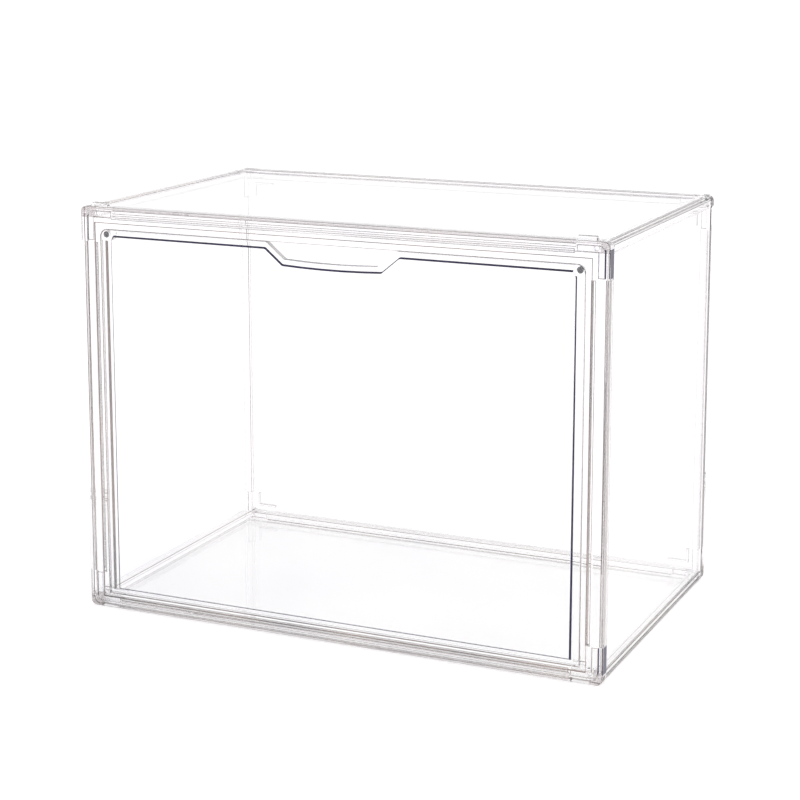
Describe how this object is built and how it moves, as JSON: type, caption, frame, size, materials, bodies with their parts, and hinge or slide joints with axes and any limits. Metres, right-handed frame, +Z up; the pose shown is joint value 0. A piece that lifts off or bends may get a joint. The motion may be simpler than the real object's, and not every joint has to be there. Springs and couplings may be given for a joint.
{
  "type": "shoe box",
  "caption": "Clear stackable display box for shoes, snapped together from panels, with a drop-front door held shut by corner magnets.",
  "frame": {"origin": "under the middle of the base, on the surface that the box stands on", "axes": "+X along the width to the right of someone who faces the door, +Y from the door to the back, +Z up"},
  "size_m": [0.36, 0.22, 0.2728],
  "materials": {
    "clear_panel": "polished, colourless moulded plastic",
    "clear_frame": "polished, colourless moulded plastic, thicker than the panels",
    "clear_door": "polished, colourless moulded plastic with a thick rim round a thin window",
    "clear_connector": "colourless moulded plastic, slightly hazy",
    "magnet_nickel": "nickel plate, dulled"
  },
  "bodies": {
    "case": {"front_frame": "clear_frame", "back_panel": "clear_panel", "top_panel": "clear_panel", "bottom_panel": "clear_panel", "right_panel": "clear_panel", "left_panel": "clear_panel", "connector_front_right_top": "clear_connector", "connector_front_left_top": "clear_connector", "connector_front_right_bottom": "clear_connector", "connector_front_left_bottom": "clear_connector", "connector_back_right_top": "clear_connector", "connector_back_left_top": "clear_connector", "connector_back_right_bottom": "clear_connector", "connector_back_left_bottom": "clear_connector", "frame_magnet_right": "magnet_nickel", "frame_magnet_left": "magnet_nickel"},
    "door": {"door_panel": "clear_door", "door_magnet_right": "magnet_nickel", "door_magnet_left": "magnet_nickel"}
  },
  "joints": [
    {"name": "door_hinge", "type": "hinge", "parent": "case", "child": "door", "pos_m": [0, -0.1076, 0.0125], "axis": [1, 0, 0], "range_deg": [0, 90]}
  ]
}
